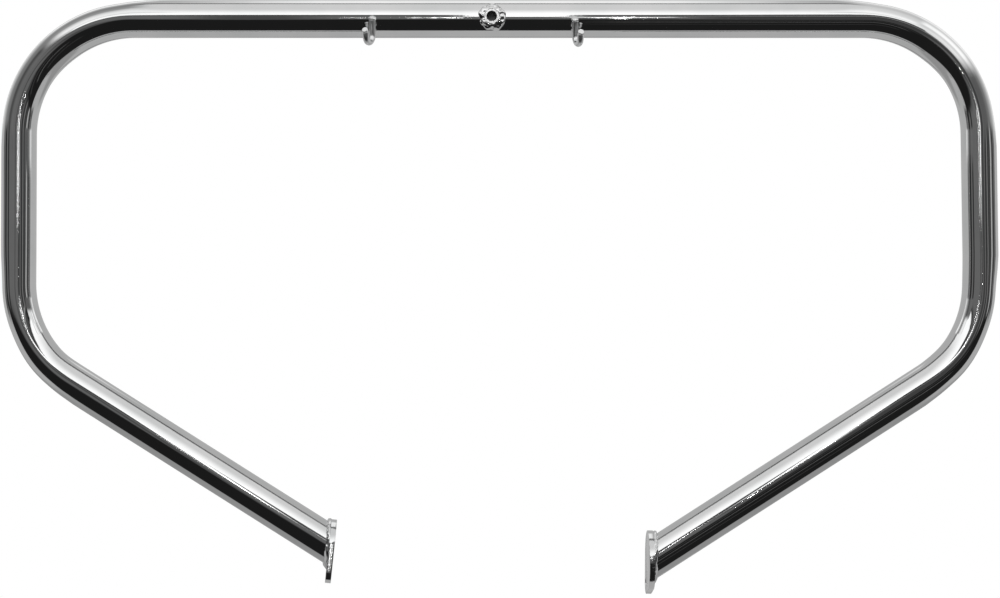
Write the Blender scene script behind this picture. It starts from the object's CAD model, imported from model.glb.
import math

import bmesh
import bpy
from mathutils import Matrix, Vector, noise


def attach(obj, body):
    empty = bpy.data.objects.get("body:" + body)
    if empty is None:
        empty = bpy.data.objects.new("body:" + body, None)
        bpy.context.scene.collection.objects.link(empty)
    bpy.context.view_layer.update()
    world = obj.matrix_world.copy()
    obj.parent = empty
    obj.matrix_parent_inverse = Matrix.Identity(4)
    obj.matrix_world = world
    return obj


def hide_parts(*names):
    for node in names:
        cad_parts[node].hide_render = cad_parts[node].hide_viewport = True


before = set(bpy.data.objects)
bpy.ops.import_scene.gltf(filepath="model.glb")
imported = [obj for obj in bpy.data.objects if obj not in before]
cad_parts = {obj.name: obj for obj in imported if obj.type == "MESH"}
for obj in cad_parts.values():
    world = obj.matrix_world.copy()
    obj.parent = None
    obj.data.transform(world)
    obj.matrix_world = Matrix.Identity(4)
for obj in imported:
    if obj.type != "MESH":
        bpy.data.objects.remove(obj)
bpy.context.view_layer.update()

# ---- Bent tube ---------------------------------------------------------------
# One length of round steel tube, bent four times on one die, drilled through in
# the middle of its top run and sawn off in the plane of a lug at both ends. The
# whole guard is bright chrome over nickel, polished before it is plated.
tube_r = 0.015875
bore_r = tube_r - 0.003
bend_r = 0.098
side_h = 0.278
left_reach, right_reach = 0.400, 0.410
left_splay, right_splay = math.radians(0.2), math.radians(0.9)
left_slope, right_slope = math.radians(32.3), math.radians(32.7)
left_lug_x, right_lug_x = 0.138, 0.1365
tube_sides = 96
degrees_a_ring = 2
top_ring_gap = 0.012
past_the_lug = 0.03


def leg_end(reach, splay, slope, lug_x):
    """Where a leg's centre line meets its lug, and the lower corner above it."""
    low_x = reach + side_h * math.tan(splay)
    return (lug_x, -side_h - (low_x - lug_x) * math.tan(slope)), (low_x, -side_h)


def walk(bm, rings, start, heading, steps):
    """Carries open rings along straights and bends; returns where each bend runs."""
    place = Vector(start)
    heading = Vector(heading).normalized()
    bends = []
    for kind, amount in steps:
        if kind == "run":
            count = max(1, math.ceil(amount / top_ring_gap))
            grown = bmesh.ops.spin(
                bm, geom=rings, cent=place, axis=(0, 1, 0), angle=0, steps=count,
                dvec=heading * amount / count)
            place = place + heading * amount
        else:
            turn = Matrix.Rotation(amount, 3, "Y")
            centre = place + Matrix.Rotation(math.pi / 2, 3, "Y") @ heading * bend_r
            bends.append((centre, (place - centre).normalized(), amount))
            grown = bmesh.ops.spin(
                bm, geom=rings, cent=centre, axis=(0, 1, 0), angle=amount,
                steps=math.ceil(math.degrees(amount) / degrees_a_ring))
            place = centre + turn @ (place - centre)
            heading = turn @ heading
        rings = grown["geom_last"]
    return bends


def finish(bm, name, smooth_angle=30, outward=True):
    """Closes off a mesh, makes it an object and shades it smooth below an angle."""
    bmesh.ops.remove_doubles(bm, verts=bm.verts, dist=1e-6)
    if outward:
        bmesh.ops.recalc_face_normals(bm, faces=bm.faces)
    mesh = bpy.data.meshes.new(name)
    for edge in bm.edges:
        edge.smooth = len(edge.link_faces) == 2 and (
            edge.calc_face_angle(0) < math.radians(smooth_angle))
    for face in bm.faces:
        face.smooth = True
    bm.to_mesh(mesh)
    bm.free()
    piece = bpy.data.objects.new(name, mesh)
    bpy.context.scene.collection.objects.link(piece)
    return piece


left_low, left_corner = leg_end(left_reach, left_splay, left_slope, left_lug_x)
right_low, right_corner = leg_end(right_reach, right_splay, right_slope, right_lug_x)
left_end = Vector((-left_low[0], 0, left_low[1]))
right_end = Vector((right_low[0], 0, right_low[1]))
left_leg_way = Vector((-math.cos(left_slope), 0, math.sin(left_slope)))
right_leg_way = Vector((-math.cos(right_slope), 0, -math.sin(right_slope)))

turns = {
    "left_low": math.pi / 2 + left_splay - left_slope,
    "left_top": math.pi / 2 - left_splay,
    "right_top": math.pi / 2 - right_splay,
    "right_low": math.pi / 2 + right_splay - right_slope,
}
trims = {name: bend_r * math.tan(turn / 2) for name, turn in turns.items()}
left_leg = (left_corner[0] - left_lug_x) / math.cos(left_slope) - trims["left_low"]
right_leg = (right_corner[0] - right_lug_x) / math.cos(right_slope) - trims["right_low"]
left_down = side_h / math.cos(left_splay) - trims["left_top"] - trims["left_low"]
right_down = side_h / math.cos(right_splay) - trims["right_top"] - trims["right_low"]
top_run = left_reach + right_reach - trims["left_top"] - trims["right_top"]

bm = bmesh.new()
start = left_end - left_leg_way * past_the_lug
upright = Matrix.Rotation(math.atan2(left_leg_way.x, left_leg_way.z), 4, "Y")
walls = []
for radius in (tube_r, bore_r):
    ring = bmesh.ops.create_circle(
        bm, segments=tube_sides, radius=radius, matrix=Matrix.Translation(start) @ upright)
    walls += ring["verts"] + list({e for v in ring["verts"] for e in v.link_edges})
bends = walk(bm, walls, start, left_leg_way, [
    ("run", left_leg + past_the_lug), ("bend", turns["left_low"]),
    ("run", left_down), ("bend", turns["left_top"]),
    ("run", top_run), ("bend", turns["right_top"]),
    ("run", right_down), ("bend", turns["right_low"]),
    ("run", right_leg + past_the_lug)])

# Bending pulls the section flat, most at the end of a bend next to a side, and the
# short sides stay a little flat as well. Shares of the radius, for each bend in turn:
# outside near the side, outside far from it, inside near the side, where that ends,
# and how far before the bend it starts. It comes in over flat_ease on both sides of
# a bend's end; far_from and far_over say where along a bend "far" begins.
bend_flat = ((0.175, 0.085, 0.085, 1.0, 0.014), (0.155, 0.155, 0.08, 0.62, 0.0),
             (0.155, 0.165, 0.11, 0.62, 0.0), (0.22, 0.13, 0.06, 0.9, 0.008))
side_is_last = (True, False, True, False)
side_flat = {-1: (0.10, 0.08), 1: (0.045, 0.11)}
flat_ease = 0.016
far_from, far_over = 0.35, 0.4
inner_fade = 0.3


def eased(share):
    share = max(0.0, min(1.0, share))
    return share * share * (3 - 2 * share)


for vert in bm.verts:
    most, squeeze = -1.0, None
    for (centre, first, amount), flat, turned_over in zip(bends, bend_flat, side_is_last):
        near_out, far_out, near_in, inner_end, early = flat
        last = Matrix.Rotation(amount, 3, "Y") @ first
        arm = Vector((vert.co.x - centre.x, 0, vert.co.z - centre.z))
        before = arm.dot(Matrix.Rotation(-math.pi / 2, 3, "Y") @ first)
        after = arm.dot(Matrix.Rotation(math.pi / 2, 3, "Y") @ last)
        if before >= 0 and abs(arm.dot(first) - bend_r) < 2 * tube_r:
            way, inside, reach, along = first, -before, arm.dot(first), 0.0
        elif after >= 0 and abs(arm.dot(last) - bend_r) < 2 * tube_r:
            way, inside, reach, along = last, -after, arm.dot(last), 1.0
        elif before < 0 and after < 0:
            way, reach = arm.normalized(), arm.length
            inside = bend_r * min(first.angle(way), amount - first.angle(way))
            along = first.angle(way) / amount
        else:
            continue
        if turned_over:
            along = 1.0 - along
        near_side = along < 0.5
        share = eased((inside + flat_ease + (early if near_side else 0)) / (2 * flat_ease))
        if share > most:
            most = share
            outer, inner = side_flat[int(math.copysign(1, centre.x))] if near_side else (0, 0)
            far = eased((along - far_from) / far_over)
            outer += share * (near_out + (far_out - near_out) * far - outer)
            inner += share * (near_in * eased((inner_end - along) / inner_fade) - inner)
            squeeze = (way, reach - bend_r, outer, inner)
    way, off, outer, inner = squeeze
    vert.co -= way * off * (outer if off > 0 else inner)

left_lean, left_turn = math.radians(6), math.radians(5)
left_seat = (Matrix.Translation(left_end) @ Matrix.Rotation(left_turn, 4, "Z")
             @ Matrix.Rotation(left_lean, 4, "Y"))
right_seat = Matrix.Translation(right_end) @ Matrix.Scale(-1, 4, (1, 0, 0))
for seat in (left_seat, right_seat):
    out = (seat.to_3x3() @ Vector((1, 0, 0))).normalized()
    near = [f for f in bm.faces
            if (f.calc_center_median() - seat.translation).length < 4 * past_the_lug]
    around = near + list({e for f in near for e in f.edges}) + list(
        {v for f in near for v in f.verts})
    bmesh.ops.bisect_plane(
        bm, geom=around, plane_co=seat.translation, plane_no=out, clear_outer=True)
rims = [e for e in bm.edges if e.is_boundary]
for side in (-1, 1):
    bmesh.ops.triangle_fill(bm, use_beauty=True, edges=[
        e for e in rims if e.verts[0].co.x * side > 0])
bent_tube = finish(bm, "bent_tube")

sleeve_r = 0.00635
fit_gap = 0.00005
bm = bmesh.new()
bmesh.ops.create_cone(
    bm, cap_ends=True, segments=64, radius1=sleeve_r + fit_gap, radius2=sleeve_r + fit_gap,
    depth=0.04, matrix=Matrix.Rotation(math.pi / 2, 4, "X"))
drill = finish(bm, "drill")
cut = bent_tube.modifiers.new("cross hole", "BOOLEAN")
cut.operation = "DIFFERENCE"
cut.object = drill
cut.solver = "EXACT"


def settled(piece):
    """A bmesh of the piece with its modifiers applied; the piece itself goes."""
    bpy.context.view_layer.update()
    seen = piece.evaluated_get(bpy.context.evaluated_depsgraph_get())
    bm = bmesh.new()
    bm.from_mesh(seen.to_mesh())
    bpy.data.objects.remove(piece)
    return bm


bm = settled(bent_tube)
bpy.data.objects.remove(drill)
bent_tube = finish(bm, "bent_tube")


def chrome(name, tone=0.8, roughness=0.045, grain=220.0, waviness=0.06, haze=0.5):
    """Bright plating: almost a mirror, with faint orange peel and a thin uneven haze."""
    material = bpy.data.materials.new(name)
    material.use_nodes = True
    nodes, links = material.node_tree.nodes, material.node_tree.links
    shader = nodes["Principled BSDF"]
    shader.inputs["Metallic"].default_value = 1.0
    where = nodes.new("ShaderNodeTexCoord")
    clouds = nodes.new("ShaderNodeTexNoise")
    clouds.inputs["Scale"].default_value = 26.0
    clouds.inputs["Detail"].default_value = 6.0
    links.new(where.outputs["Object"], clouds.inputs["Vector"])
    tint = nodes.new("ShaderNodeValToRGB")
    tint.color_ramp.elements[0].position = 0.35
    tint.color_ramp.elements[0].color = (tone * 0.93, tone * 0.94, tone * 0.94, 1)
    tint.color_ramp.elements[1].position = 0.65
    tint.color_ramp.elements[1].color = (tone, tone, tone, 1)
    links.new(clouds.outputs["Fac"], tint.inputs["Fac"])
    links.new(tint.outputs["Color"], shader.inputs["Base Color"])
    dull = nodes.new("ShaderNodeMapRange")
    dull.inputs["From Min"].default_value = 0.3
    dull.inputs["From Max"].default_value = 0.75
    dull.inputs["To Min"].default_value = roughness
    dull.inputs["To Max"].default_value = roughness * (1 + haze)
    links.new(clouds.outputs["Fac"], dull.inputs["Value"])
    links.new(dull.outputs["Result"], shader.inputs["Roughness"])
    peel = nodes.new("ShaderNodeTexNoise")
    peel.inputs["Scale"].default_value = grain
    peel.inputs["Detail"].default_value = 2.0
    links.new(where.outputs["Object"], peel.inputs["Vector"])
    bump = nodes.new("ShaderNodeBump")
    bump.inputs["Strength"].default_value = waviness
    bump.inputs["Distance"].default_value = 0.0004
    links.new(peel.outputs["Fac"], bump.inputs["Height"])
    links.new(bump.outputs["Normal"], shader.inputs["Normal"])
    return material


tube_chrome = chrome("tube chrome", waviness=0.025)
bent_tube.data.materials.append(tube_chrome)
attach(bent_tube, "root")
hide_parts("guard_tube")

# ---- Centre sleeve -----------------------------------------------------------
# A short turned steel sleeve set through both walls of the tube. The upper bolt
# goes through it, so the bolt can't crush the tube. Both mouths are chamfered.
sleeve_bore = 0.0042
sleeve_front = -(tube_r + 0.00125)
sleeve_back = tube_r + 0.020
sleeve_chamfer = 0.00025


def turned(profile, steps, name):
    """Spins a closed profile of (radius, place) once about the Y axis."""
    bm = bmesh.new()
    corners = [bm.verts.new((radius, y, 0)) for radius, y in profile]
    edges = [bm.edges.new((a, b)) for a, b in zip(corners, corners[1:] + corners[:1])]
    bmesh.ops.spin(
        bm, geom=corners + edges, cent=(0, 0, 0), axis=(0, 1, 0), angle=2 * math.pi,
        steps=steps, use_merge=True)
    return finish(bm, name)


turned_sleeve = turned([
    (sleeve_bore, sleeve_front + sleeve_chamfer), (sleeve_bore + sleeve_chamfer, sleeve_front),
    (sleeve_r - sleeve_chamfer, sleeve_front), (sleeve_r, sleeve_front + sleeve_chamfer),
    (sleeve_r, sleeve_back - sleeve_chamfer), (sleeve_r - sleeve_chamfer, sleeve_back),
    (sleeve_bore + sleeve_chamfer, sleeve_back), (sleeve_bore, sleeve_back - sleeve_chamfer),
], 96, "turned_sleeve")
sleeve_chrome = chrome("sleeve chrome", tone=0.76, roughness=0.1, grain=600.0, waviness=0.15)
turned_sleeve.data.materials.append(sleeve_chrome)
bare = bpy.data.materials.new("bare bore")
bare.use_nodes = True
nodes, links = bare.node_tree.nodes, bare.node_tree.links
shader = nodes["Principled BSDF"]
shader.inputs["Metallic"].default_value = 0.6
shader.inputs["Roughness"].default_value = 0.55
soot = nodes.new("ShaderNodeTexNoise")
soot.inputs["Scale"].default_value = 900.0
soot.inputs["Detail"].default_value = 4.0
links.new(nodes.new("ShaderNodeTexCoord").outputs["Object"], soot.inputs["Vector"])
soot_tint = nodes.new("ShaderNodeValToRGB")
soot_tint.color_ramp.elements[0].position = 0.35
soot_tint.color_ramp.elements[0].color = (0.012, 0.012, 0.013, 1)
soot_tint.color_ramp.elements[1].position = 0.7
soot_tint.color_ramp.elements[1].color = (0.05, 0.05, 0.052, 1)
links.new(soot.outputs["Fac"], soot_tint.inputs["Fac"])
links.new(soot_tint.outputs["Color"], shader.inputs["Base Color"])
turned_sleeve.data.materials.append(bare)
for face in turned_sleeve.data.polygons:
    middle = face.center
    if math.hypot(middle.x, middle.z) < sleeve_bore + sleeve_chamfer / 4:
        face.material_index = 1
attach(turned_sleeve, "root")
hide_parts("centre_sleeve")

# ---- Beads round the sleeve --------------------------------------------------
# Weld metal laid by hand round the sleeve, in front of the tube and behind it. It
# runs out over the tube unevenly, more below than above, and is plated as it is.
bead_stations = 180
bead_rows = 14


def ring_bead(name, section, lumps, seed):
    """A closed bead: rows of a ring are extruded, joined and set by section(turn, row)."""
    bm = bmesh.new()
    row = bmesh.ops.create_circle(bm, segments=bead_stations, radius=1.0)["verts"]
    rows = [row]
    edges = list(bm.edges)
    for _ in range(bead_rows - 1):
        grown = bmesh.ops.extrude_edge_only(bm, edges=edges)["geom"]
        edges = [g for g in grown if isinstance(g, bmesh.types.BMEdge)
                 and all(v in grown for v in g.verts) and g.is_boundary]
        rows.append([g for g in grown if isinstance(g, bmesh.types.BMVert)])
    bmesh.ops.bridge_loops(bm, edges=[e for e in bm.edges if e.is_boundary])
    for number, ring in enumerate(rows):
        for vert in ring:
            turn = math.atan2(vert.co.y, vert.co.x)
            place, push = section(turn, number / (bead_rows - 1))
            swell = noise.noise(place * lumps + Vector((seed, 0, 0)))
            vert.co = place + push * swell
    return finish(bm, name, smooth_angle=60)


sleeve_leg = 0.005
crown_h = 0.00105
bead_sink = 0.0006
lump_h = 0.0010
lumps_a_metre = 330.0


def sleeve_bead_section(side, lumpy):
    def section(turn, along):
        leg = sleeve_leg * (0.97 + 0.09 * math.sin(5 * turn + 0.35) + 0.06 * math.sin(9 * turn)
                            + 0.28 * max(0.0, math.cos(turn + 0.8)) ** 2)
        arc = along * math.pi * 0.62 - 0.2
        radius = sleeve_r - 0.0002 + leg * max(0.0, math.cos(arc)) * (1 if arc > 0 else 0.97)
        x, z = radius * math.cos(turn), radius * math.sin(turn)
        base = math.sqrt(tube_r ** 2 - min(z * z, tube_r ** 2 * 0.98))
        toe_z = (sleeve_r + leg) * math.sin(turn)
        toe = math.sqrt(tube_r ** 2 - toe_z ** 2)
        crown = tube_r + crown_h
        height = max(base - bead_sink, toe + (crown - toe) * math.sin(min(arc, math.pi / 2)))
        place = Vector((x, side * height, z))
        return place, Vector((math.cos(turn), side * 0.8, math.sin(turn))) * lumpy * math.sin(
            along * math.pi)
    return section


bead_chrome = chrome("bead chrome", tone=0.78, roughness=0.07, grain=900.0, waviness=0.2)
for name, node, side in (("front_sleeve_bead", "sleeve_front_weld", -1),
                         ("rear_sleeve_bead", "sleeve_rear_weld", 1)):
    bead = ring_bead(name, sleeve_bead_section(side, lump_h), lumps_a_metre, 3.0 + side)
    bead.data.materials.append(bead_chrome)
    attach(bead, "root")
    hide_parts(node)

# ---- Rod hooks ---------------------------------------------------------------
# Two hooks of round rod for a cable or a cord, each bent to a U with its tip turned
# forward. The shank lies against the tube's front, and the saw's cut end is eased.
rod_r = 0.0027
hook_r = 0.006
tip_r = 0.0032
tip_turn = math.radians(50)
tip_h = 0.0008
rod_chamfer = 0.0006
shank_h = 0.0106
shank_top = 0.0012
limb_h = 0.002
rod_sides = 48


def on_tube_front(x, seat, turn):
    return (Matrix.Translation((x, 0, 0)) @ Matrix.Rotation(seat, 4, "X")
            @ Matrix.Translation((0, -(tube_r + rod_r), 0)) @ Matrix.Rotation(turn, 4, "Z"))


def rod_hook(name, matrix):
    bm = bmesh.new()
    ring = bmesh.ops.create_circle(
        bm, segments=rod_sides, radius=rod_r, matrix=Matrix.Translation((0, 0, shank_top)))
    geom = ring["verts"] + list(bm.edges)
    geom = bmesh.ops.spin(
        bm, geom=geom, cent=(0, 0, 0), axis=(1, 0, 0), angle=0, steps=4,
        dvec=(0, 0, -(shank_h + shank_top) / 4))["geom_last"]
    geom = bmesh.ops.spin(
        bm, geom=geom, cent=(0, -hook_r, -shank_h), axis=(-1, 0, 0), angle=math.pi,
        steps=48)["geom_last"]
    geom = bmesh.ops.spin(
        bm, geom=geom, cent=(0, 0, 0), axis=(1, 0, 0), angle=0, steps=2,
        dvec=(0, 0, limb_h / 2))["geom_last"]
    tip_centre = Vector((0, -2 * hook_r - tip_r, limb_h - shank_h))
    geom = bmesh.ops.spin(
        bm, geom=geom, cent=tip_centre, axis=(1, 0, 0), angle=tip_turn, steps=16)["geom_last"]
    way = Vector((0, -math.sin(tip_turn), math.cos(tip_turn)))
    geom = bmesh.ops.spin(
        bm, geom=geom, cent=(0, 0, 0), axis=(1, 0, 0), angle=0, steps=1,
        dvec=way * tip_h)["geom_last"]
    for share in (0.5, 1.0):
        geom = bmesh.ops.spin(
            bm, geom=geom, cent=(0, 0, 0), axis=(1, 0, 0), angle=0, steps=1,
            dvec=way * rod_chamfer / 2)["geom_last"]
        ends = [g for g in geom if isinstance(g, bmesh.types.BMVert)]
        middle = sum((v.co for v in ends), Vector()) / len(ends)
        now = (ends[0].co - middle).length
        target = rod_r - rod_chamfer * share ** 1.5
        bmesh.ops.scale(
            bm, verts=ends, vec=(target / now,) * 3, space=Matrix.Translation(-middle))
    bmesh.ops.contextual_create(
        bm, geom=[g for g in geom if isinstance(g, bmesh.types.BMEdge)])
    bmesh.ops.contextual_create(bm, geom=[e for e in bm.edges if e.is_boundary])
    bmesh.ops.transform(bm, verts=bm.verts, matrix=matrix)
    return finish(bm, name)


hook_chrome = chrome("hook chrome", tone=0.95, roughness=0.3, grain=700.0, waviness=0.12)
left_place = on_tube_front(-0.100, math.radians(15), math.radians(-23))
right_place = on_tube_front(0.070, math.radians(18), math.radians(19))
for name, node, place in (("left_rod_hook", "left_hook", left_place),
                          ("right_rod_hook", "right_hook", right_place)):
    hook = rod_hook(name, place)
    hook.data.materials.append(hook_chrome)
    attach(hook, "root")
    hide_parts(node)

# ---- Beads at the hooks ------------------------------------------------------
# A short bead fills both sides of each shank where it meets the tube, and closes
# over its upper end.
hook_bead_r = 0.0038


def hook_bead(name, x, seat, seed):
    lower = 0.9 * hook_bead_r
    bm = bmesh.new()
    for z, radius in ((shank_top, lower), (shank_top - lower, hook_bead_r),
                      (shank_top - 2 * lower, lower)):
        bmesh.ops.create_icosphere(
            bm, subdivisions=4, radius=radius, matrix=Matrix.Translation((0, -tube_r, z)))
    bmesh.ops.transform(
        bm, verts=bm.verts,
        matrix=Matrix.Translation((x, 0, 0)) @ Matrix.Rotation(seat, 4, "X"))
    piece = finish(bm, name)
    skin = piece.modifiers.new("skin", "REMESH")
    skin.mode = "VOXEL"
    skin.voxel_size = 0.00025
    soften = piece.modifiers.new("soften", "SMOOTH")
    soften.iterations = 6
    bm = settled(piece)
    for vert in bm.verts:
        swell = noise.noise(vert.co * 500 + Vector((seed, 0, 0)))
        vert.co += vert.normal * swell * 0.0003
    return finish(bm, name, smooth_angle=60)


for name, node, x, seat in (("left_hook_bead", "left_hook_weld", -0.100, math.radians(15)),
                            ("right_hook_bead", "right_hook_weld", 0.070, math.radians(18))):
    bead = hook_bead(name, x, seat, x * 100)
    bead.data.materials.append(bead_chrome)
    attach(bead, "root")
    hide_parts(node)

# ---- End plates --------------------------------------------------------------
# A flat plate closes each lower end of the tube and carries one bolt hole in an ear
# that hangs below it. It is cut from bar, its edges are eased, and it is welded on.
plate_t = 0.0048
lug_drop = 0.0017
ear_r = 0.0095
bolt_hole_r = 0.0042
plate_sides = 96
edge_ease = 0.0004


def end_plate(name, big_r, ear_y, ear_z, matrix):
    centre = Vector((0, 0, -lug_drop))
    ear = Vector((0, ear_y, ear_z))
    span = ear - centre
    lean = math.atan2(span.z, span.y)
    spread = math.acos((big_r - ear_r) / span.length)

    def on_round(middle, radius, angle):
        return middle + radius * Vector((0, math.cos(angle), math.sin(angle)))

    bm = bmesh.new()
    first = bm.verts.new(on_round(centre, big_r, lean + spread))
    bmesh.ops.spin(
        bm, geom=[first], cent=centre, axis=(1, 0, 0), angle=2 * math.pi - 2 * spread,
        steps=plate_sides)
    second = bm.verts.new(on_round(ear, ear_r, lean - spread))
    bmesh.ops.spin(
        bm, geom=[second], cent=ear, axis=(1, 0, 0), angle=2 * spread, steps=plate_sides // 2)
    bm.verts.ensure_lookup_table()
    loose = [v for v in bm.verts if len(v.link_edges) == 1]
    for corner in (lean + spread, lean - spread):
        pair = sorted(loose, key=lambda v: min(
            (v.co - on_round(centre, big_r, corner)).length,
            (v.co - on_round(ear, ear_r, corner)).length))[:2]
        bm.edges.new(pair)
        loose = [v for v in loose if v not in pair]
    rim = list(bm.edges)
    hole = bmesh.ops.create_circle(
        bm, segments=64, radius=bolt_hole_r,
        matrix=Matrix.Translation(ear) @ Matrix.Rotation(math.pi / 2, 4, "Y"))
    hole_edges = list({e for v in hole["verts"] for e in v.link_edges})
    bmesh.ops.triangle_fill(bm, edges=rim + hole_edges, use_beauty=True)
    bmesh.ops.dissolve_limit(
        bm, angle_limit=0.001, verts=bm.verts, edges=bm.edges, use_dissolve_boundaries=False)
    grown = bmesh.ops.extrude_face_region(bm, geom=list(bm.faces))["geom"]
    bmesh.ops.translate(
        bm, verts=[g for g in grown if isinstance(g, bmesh.types.BMVert)], vec=(plate_t, 0, 0))
    bmesh.ops.remove_doubles(bm, verts=bm.verts, dist=1e-7)
    bmesh.ops.recalc_face_normals(bm, faces=bm.faces)
    sharp = [e for e in bm.edges if e.calc_face_angle(0) > math.radians(60)]
    bmesh.ops.bevel(
        bm, geom=sharp, offset=edge_ease, offset_type="OFFSET", segments=3, profile=0.5,
        affect="EDGES", clamp_overlap=True, material=-1)
    bmesh.ops.transform(bm, verts=bm.verts, matrix=matrix)
    return finish(bm, name, smooth_angle=25)


plate_chrome = chrome("plate chrome", tone=0.78, roughness=0.09, grain=500.0, waviness=0.12)
for name, node, sizes in (
        ("left_end_plate", "left_lug", (0.0225, -0.017, -0.0208, left_seat)),
        ("right_end_plate", "right_lug", (0.025, 0.018, -0.0235, right_seat))):
    plate = end_plate(name, *sizes)
    plate.data.materials.append(plate_chrome)
    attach(plate, "root")
    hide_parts(node)

# ---- Beads at the tube's ends ------------------------------------------------
# A fillet of weld metal runs round the slanting end of each leg on its plate.
lug_leg = 0.0034
fillet_lump_h = 0.0005
fillet_lumps_a_metre = 380.0


def end_bead_section(end, leg_way, seat_out, lumpy):
    """Section of the fillet at an angle round the leg; leg_way runs towards the plate."""
    across = Vector((0, 1, 0))
    up = across.cross(leg_way)

    def section(turn, along):
        out = math.cos(turn) * across + math.sin(turn) * up
        root = end + tube_r * out - leg_way * (tube_r * out.dot(seat_out)) / leg_way.dot(seat_out)
        flat = (out - out.dot(seat_out) * seat_out).normalized()
        leg = lug_leg * (1 + 0.09 * math.sin(5 * turn + 0.35) + 0.06 * math.sin(9 * turn))
        arc = along * math.pi * 0.7 - 0.3
        inward = 0.0005 if along in (0, 1) else 0
        place = root + leg * (math.cos(arc) * flat - math.sin(arc) * leg_way) - inward * flat
        push = (math.cos(arc) * flat - math.sin(arc) * leg_way) * lumpy * math.sin(along * math.pi)
        return place, push
    return section


for name, node, end, way, seat in (
        ("left_end_bead", "left_lug_weld", left_end, -left_leg_way, left_seat),
        ("right_end_bead", "right_lug_weld", right_end, right_leg_way, right_seat)):
    out = (seat.to_3x3() @ Vector((1, 0, 0))).normalized()
    bead = ring_bead(name, end_bead_section(end, way, out, fillet_lump_h),
                     fillet_lumps_a_metre, 9.0)
    bead.data.materials.append(bead_chrome)
    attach(bead, "root")
    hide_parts(node)

# ---- Studio ------------------------------------------------------------------
# A pale floor well below the guard, and a tent of soft light round it. The chrome
# shows the tent: a large pale ceiling, dark front wall, and grey behind.
ground_z = -1.2
bm = bmesh.new()
bmesh.ops.create_grid(bm, x_segments=1, y_segments=1, size=1.0)
bmesh.ops.scale(bm, verts=bm.verts, vec=(1.6, 1.45, 1))
bmesh.ops.translate(bm, verts=bm.verts, vec=(0, 1.285, ground_z))
ground = finish(bm, "floor", outward=False)
ground.visible_glossy = False
pale = bpy.data.materials.new("pale floor")
pale.use_nodes = True
nodes, links = pale.node_tree.nodes, pale.node_tree.links
nodes["Principled BSDF"].inputs["Base Color"].default_value = (0.8, 0.8, 0.8, 1)
nodes["Principled BSDF"].inputs["Roughness"].default_value = 0.9
light_path = nodes.new("ShaderNodeLightPath")
white = nodes.new("ShaderNodeEmission")
blend = nodes.new("ShaderNodeMixShader")
links.new(light_path.outputs["Is Camera Ray"], blend.inputs["Fac"])
links.new(nodes["Principled BSDF"].outputs["BSDF"], blend.inputs[1])
links.new(white.outputs["Emission"], blend.inputs[2])
links.new(blend.outputs["Shader"], nodes["Material Output"].inputs["Surface"])
ground.data.materials.append(pale)

tent_centre = Vector((0, 0, -0.24))
bm = bmesh.new()
bmesh.ops.create_uvsphere(bm, u_segments=64, v_segments=32, radius=3.5)
bmesh.ops.translate(bm, verts=bm.verts, vec=tent_centre)
bmesh.ops.reverse_faces(bm, faces=bm.faces)
tent = finish(bm, "tent", outward=False)
tent.visible_camera = False


def shining(name):
    """A material that only gives light, with its nodes and links to be wired."""
    material = bpy.data.materials.new(name)
    material.use_nodes = True
    nodes = material.node_tree.nodes
    nodes.remove(nodes["Principled BSDF"])
    return material, nodes, material.node_tree.links


cloth, nodes, links = shining("tent cloth")


def wire(kind, operation=None, inputs=(), clamp=None):
    """Adds a node to the material in hand; an input is a value or another node's output."""
    made = nodes.new(kind)
    if operation:
        made.operation = operation
    if clamp is not None:
        made.use_clamp = clamp
    for place, value in enumerate(inputs):
        if isinstance(value, bpy.types.NodeSocket):
            links.new(value, made.inputs[place])
        elif value is not None:
            made.inputs[place].default_value = value
    return made


def sums(operation, *inputs, clamp=None):
    return wire("ShaderNodeMath", operation, inputs, clamp).outputs[0]


place = wire("ShaderNodeTexCoord").outputs["Object"]
way = wire("ShaderNodeVectorMath", "NORMALIZE", (
    wire("ShaderNodeVectorMath", "SUBTRACT", (place, tuple(tent_centre))).outputs[0],)).outputs[0]
split = wire("ShaderNodeSeparateXYZ", None, (way,))
way_x, way_y, way_z = split.outputs
height = sums("MULTIPLY", sums("ARCSINE", way_z), 180 / math.pi)
round_it = sums("MULTIPLY", sums("ARCTAN2", way_x, sums("MULTIPLY", way_y, -1.0)), 180 / math.pi)


def shine(light):
    """Ends the material in hand in an emission of this strength."""
    glow = wire("ShaderNodeEmission")
    links.new(light, glow.inputs["Strength"])
    links.new(glow.outputs["Emission"], nodes["Material Output"].inputs["Surface"])


def step_up(value, start, width):
    """0 below start, 1 above start + width, smooth between."""
    made = wire("ShaderNodeMapRange", None, (value, start, start + width, 0.0, 1.0))
    made.interpolation_type = "SMOOTHSTEP"
    return made.outputs["Result"]


def band(value, centre, half, soft):
    """1 within half of centre, fading to 0 over soft."""
    off = sums("ABSOLUTE", sums("SUBTRACT", value, centre))
    return sums("SUBTRACT", 1.0, step_up(off, half, soft))


def lay(under, over, mask):
    """Lays the light over on the light under, where mask is 1."""
    return sums("ADD", sums("MULTIPLY", under, sums("SUBTRACT", 1.0, mask)),
                sums("MULTIPLY", over, mask))


# Ceiling: brightest at its front edge, a little greyer overhead
ceiling = sums("SUBTRACT", 1.28, sums("MULTIPLY", 0.52, step_up(height, 24.0, 34.0)))
front_wall = 0.013
edge = sums("ADD", 18.5, sums("MULTIPLY", 2.5, step_up(round_it, 8.0, 8.0)))
left_of_it = sums("MULTIPLY", round_it, -1.0)
edge = sums("SUBTRACT", edge, sums("MULTIPLY", 2.5, step_up(left_of_it, 12.0, 8.0)))
light = lay(front_wall, ceiling, step_up(sums("SUBTRACT", height, edge), 0.0, 2.4))
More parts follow.
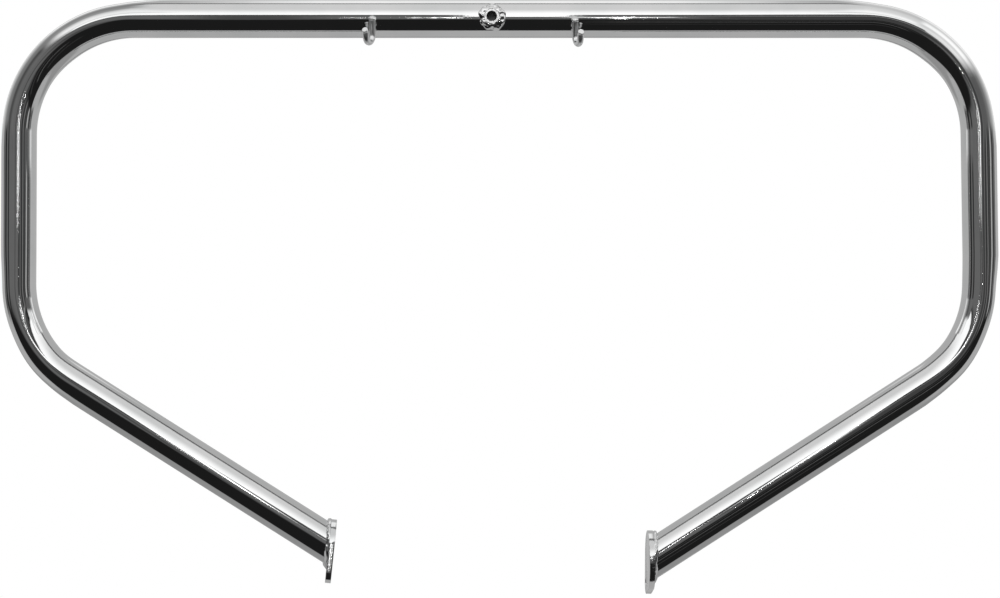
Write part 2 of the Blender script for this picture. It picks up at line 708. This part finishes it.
# Room behind the camera, at eye level, with its furniture as dark and light bands
room_mask = band(height, 4.0, 9.0, 4.0)
light = lay(light, lay(0.09, 0.15, band(height, 5.0, 6.0, 6.0)), room_mask)
eye_level = band(height, 2.0, 9.0, 4.0)
for centre, half, shade in ((-80, 4, 0.02), (-60, 3, 0.03), (-11, 1, 0.08), (36, 6, 0.045),
                            (50, 3, 0.045), (60, 3, 0.05), (84, 3, 0.04), (16, 5, 0.06)):
    light = lay(light, shade, sums("MULTIPLY", band(round_it, centre, half, 3.0), eye_level))
for centre, half, shade in ((70, 2.5, 0.5), (43, 2, 0.2)):
    light = lay(light, shade, sums("MULTIPLY", band(round_it, centre, half, 2.0), eye_level))
# A dark seam and a bright slit under the ceiling's front edge, on the right
right_part = band(round_it, 24.0, 12.0, 4.0)
light = lay(light, 0.08, sums("MULTIPLY", band(height, 17.0, 2.0, 0.8), right_part))
light = lay(light, 0.4, sums("MULTIPLY", band(height, 12.5, 0.4, 0.7), right_part))
# Faint edges of things low down on the right
for tilt, shade in ((-14.0, 0.05), (-23.0, 0.12), (-36.0, 0.05)):
    light = lay(light, shade, sums("MULTIPLY", band(height, tilt, 0.6, 0.8),
                                   band(round_it, 25.0, 18.0, 4.0)))
# A tall window straight ahead
light = lay(light, 1.6, sums("MULTIPLY", band(round_it, 0.95, 2.0, 0.9),
                             band(height, 15.8, 5.5, 1.8)))
# Grey cloth behind the guard, above and below, paler overhead
overhead = sums("MULTIPLY", step_up(height, 38.0, 12.0), band(way_x, 0.0, 0.12, 0.15))
behind = sums("ADD", 0.5, sums("MULTIPLY", 0.55, overhead))
behind_edge = sums("SUBTRACT", 0.2, sums("MULTIPLY", 0.1, step_up(height, 8.0, 12.0)))
light = lay(light, behind, step_up(sums("SUBTRACT", way_y, behind_edge), 0.0, 0.04))
light = lay(light, 0.1, sums("MULTIPLY", band(way_y, 0.125, 0.045, 0.02),
                             step_up(height, 5.0, 10.0)))
below = lay(0.48, 0.33, band(sums("ABSOLUTE", way_x), 0.55, 0.12, 0.12))
light = lay(light, below, sums("MULTIPLY", step_up(way_y, -0.17, 0.08),
                               sums("SUBTRACT", 1.0, step_up(height, -15.0, 10.0))))
light = lay(light, 0.16, sums("MULTIPLY", step_up(way_y, 0.87, 0.03),
                              band(height, -25.0, 3.0, 3.0)))
shine(light)
tent.data.materials.append(cloth)

# A lit strip with two lamps on it stands behind the camera, a little to the right
bm = bmesh.new()
bmesh.ops.create_grid(
    bm, x_segments=1, y_segments=1, size=1.0, matrix=Matrix.Rotation(math.pi / 2, 4, "X"))
bmesh.ops.scale(bm, verts=bm.verts, vec=(0.1, 1, 0.175))
bmesh.ops.translate(bm, verts=bm.verts, vec=(0.23, -1.8, -0.085))
strip = finish(bm, "strip", outward=False)
strip.visible_camera = False
lit, nodes, links = shining("lit strip")
here = wire("ShaderNodeSeparateXYZ", None, (wire("ShaderNodeTexCoord").outputs["Object"],))
light = sums("ADD", 0.06, sums("MULTIPLY", 0.95, step_up(here.outputs[2], -0.13, 0.17)))
for lamp_h in (0.078, -0.229):
    light = lay(light, 60.0, sums("MULTIPLY", band(here.outputs[2], lamp_h, 0.004, 0.003),
                                  band(here.outputs[0], 0.23, 0.006, 0.003)))
shine(light)
strip.data.materials.append(lit)

# Beside the window the light comes through narrow gaps in a curtain (place in m,
# width in mm)
gap_h = 0.16
bm = bmesh.new()
for gap_x, gap_w in ((-0.255, 1), (-0.233, 1), (-0.139, 2), (-0.107, 3), (-0.084, 3), (-0.071, 4),
                     (0.177, 3), (0.215, 2), (0.229, 2), (0.256, 1)):
    gap = bmesh.ops.create_grid(
        bm, x_segments=1, y_segments=1, size=0.5, matrix=Matrix.Rotation(math.pi / 2, 4, "X"))
    bmesh.ops.scale(bm, verts=gap["verts"], vec=(gap_w / 1000, 1, gap_h))
    bmesh.ops.translate(bm, verts=gap["verts"], vec=(gap_x, -1.6, -0.03))
gaps = finish(bm, "curtain_gaps", outward=False)
gaps.visible_camera = False
daylight, nodes, links = shining("daylight")
glow = wire("ShaderNodeEmission", None, ((1, 1, 1, 1), 9.0))
links.new(glow.outputs["Emission"], nodes["Material Output"].inputs["Surface"])
gaps.data.materials.append(daylight)

# An arch of card stands round each upper bend, out of the camera's sight. Its tones run
# along the arch (degrees from the top) and across it (degrees from straight ahead).
arch_gap = 0.25
arch_r = bend_r + arch_gap
across_from, across_to = 18, 142
for name, side, corner_x, tones in (
        ("left_arch", -1, -left_reach + trims["left_top"], (
            (0, 2, ((30, 0.8), (38, 1.1), (47, 1.08), (55, 0.92), (64, 0.7), (71, 0.4),
                    (81, 0.34), (98, 0.27), (106, 0.36), (115, 0.56), (123, 0.86), (134, 1.15))),
            (39, 13, ((21, 0.16), (38, 0.16), (47, 0.12), (55, 0.08), (64, 0.1), (72, 0.2),
                      (89, 0.25), (98, 0.3), (106, 0.47), (123, 0.6), (132, 0.78), (140, 1.0))))),
        ("right_arch", 1, right_reach - trims["right_top"], (
            (0, 2, ((30, 0.7), (38, 1.2), (47, 1.15), (55, 0.95), (64, 0.85), (81, 0.78),
                    (98, 0.64), (106, 0.65), (123, 0.8), (132, 0.95), (140, 1.15))),
            (31, 4, ((30, 0.9), (38, 1.0), (47, 0.86), (57, 0.8), (64, 1.05), (72, 1.23),
                     (81, 1.22), (89, 1.12), (98, 0.88), (106, 0.75), (123, 0.9), (132, 1.15))),
            (53, 11, ((21, 0.12), (38, 0.12), (55, 0.13), (72, 0.2), (81, 0.23), (89, 0.34),
                      (106, 0.48), (123, 0.65), (132, 0.85), (140, 1.05)))))):
    bm = bmesh.new()
    edge = [bm.verts.new((corner_x, -arch_gap / math.tan(math.radians(across)), arch_r - bend_r))
            for across in (across_from, across_to)]
    bmesh.ops.spin(
        bm, geom=edge + [bm.edges.new(edge)], cent=(corner_x, 0, -bend_r), axis=(0, 1, 0),
        angle=side * math.radians(88), steps=44)
    bmesh.ops.remove_doubles(bm, verts=bm.verts, dist=1e-6)
    bm.normal_update()
    bm.faces.ensure_lookup_table()
    if bm.faces[0].normal.z > 0:
        bmesh.ops.reverse_faces(bm, faces=bm.faces)
    arch = finish(bm, name, outward=False)
    arch.visible_camera = False
    card, nodes, links = shining(name.replace("_", " "))
    here = wire("ShaderNodeSeparateXYZ", None, (wire("ShaderNodeTexCoord").outputs["Object"],))
    across = sums("MULTIPLY", sums("ARCTAN2", arch_gap, sums("MULTIPLY", here.outputs[1], -1.0)),
                  180 / math.pi)
    along = sums("MULTIPLY", sums(
        "ARCTAN2", sums("MULTIPLY", sums("SUBTRACT", here.outputs[0], corner_x), float(side)),
        sums("ADD", here.outputs[2], bend_r)), 180 / math.pi)
    light = 0.0
    for start, ease, stops in tones:
        ramp = wire("ShaderNodeValToRGB", None, (sums("DIVIDE", across, 150.0),))
        stop_list = ramp.color_ramp.elements
        while len(stop_list) < len(stops):
            stop_list.new(0.5)
        for stop, (degrees, tone) in zip(stop_list, stops):
            stop.position = degrees / 150
        for stop, (degrees, tone) in zip(stop_list, stops):
            stop.color = (tone / 2, tone / 2, tone / 2, 1)
        tone = sums("MULTIPLY", ramp.outputs["Color"], 2.0)
        light = lay(light, tone, step_up(along, float(start), float(ease)))
    low_edge = sums("SUBTRACT", 29.0, sums("MULTIPLY", 9.0, step_up(along, 38.0, 8.0)))
    shown = sums("MULTIPLY", step_up(along, 5.0, 7.0),
                 sums("SUBTRACT", 1.0, step_up(along, 80.0, 6.0)))
    shown = sums("MULTIPLY", shown, step_up(sums("SUBTRACT", across, low_edge), 0.0, 2.0))
    shown = sums("MULTIPLY", shown, sums("SUBTRACT", 1.0, wire(
        "ShaderNodeNewGeometry").outputs["Backfacing"]))
    glow = wire("ShaderNodeEmission")
    links.new(light, glow.inputs["Strength"])
    blend = wire("ShaderNodeMixShader", None, (
        shown, wire("ShaderNodeBsdfTransparent").outputs[0], glow.outputs[0]))
    links.new(blend.outputs[0], nodes["Material Output"].inputs["Surface"])
    arch.data.materials.append(card)

# White behind everything for the camera, also in mirrors and through glass; a softer
# fill for all other light
world = bpy.data.worlds.new("studio")
bpy.context.scene.world = world
world.use_nodes = True
nodes, links = world.node_tree.nodes, world.node_tree.links
light_path = nodes.new("ShaderNodeLightPath")
seen_white = nodes.new("ShaderNodeMath")
seen_white.operation = "MAXIMUM"
also_glass = nodes.new("ShaderNodeMath")
also_glass.operation = "MAXIMUM"
links.new(light_path.outputs["Is Camera Ray"], seen_white.inputs[0])
links.new(light_path.outputs["Is Glossy Ray"], seen_white.inputs[1])
links.new(seen_white.outputs[0], also_glass.inputs[0])
links.new(light_path.outputs["Is Transmission Ray"], also_glass.inputs[1])
strength = nodes.new("ShaderNodeMapRange")
strength.inputs["To Min"].default_value = 0.6
strength.inputs["To Max"].default_value = 1.0
links.new(also_glass.outputs[0], strength.inputs["Value"])
nodes["Background"].inputs["Color"].default_value = (1, 1, 1, 1)
links.new(strength.outputs["Result"], nodes["Background"].inputs["Strength"])

# ---- Camera ------------------------------------------------------------------
# Straight in front of the guard, level, a little below half its height.
eye = bpy.data.cameras.new("camera")
eye.sensor_width = 36
eye.lens = 63.78
camera = bpy.data.objects.new("camera", eye)
camera.location = (0.0069, -1.5, -0.237)
camera.rotation_euler = (math.pi / 2, 0, 0)
bpy.context.scene.collection.objects.link(camera)
bpy.context.scene.camera = camera
bpy.context.scene.view_settings.view_transform = "Standard"
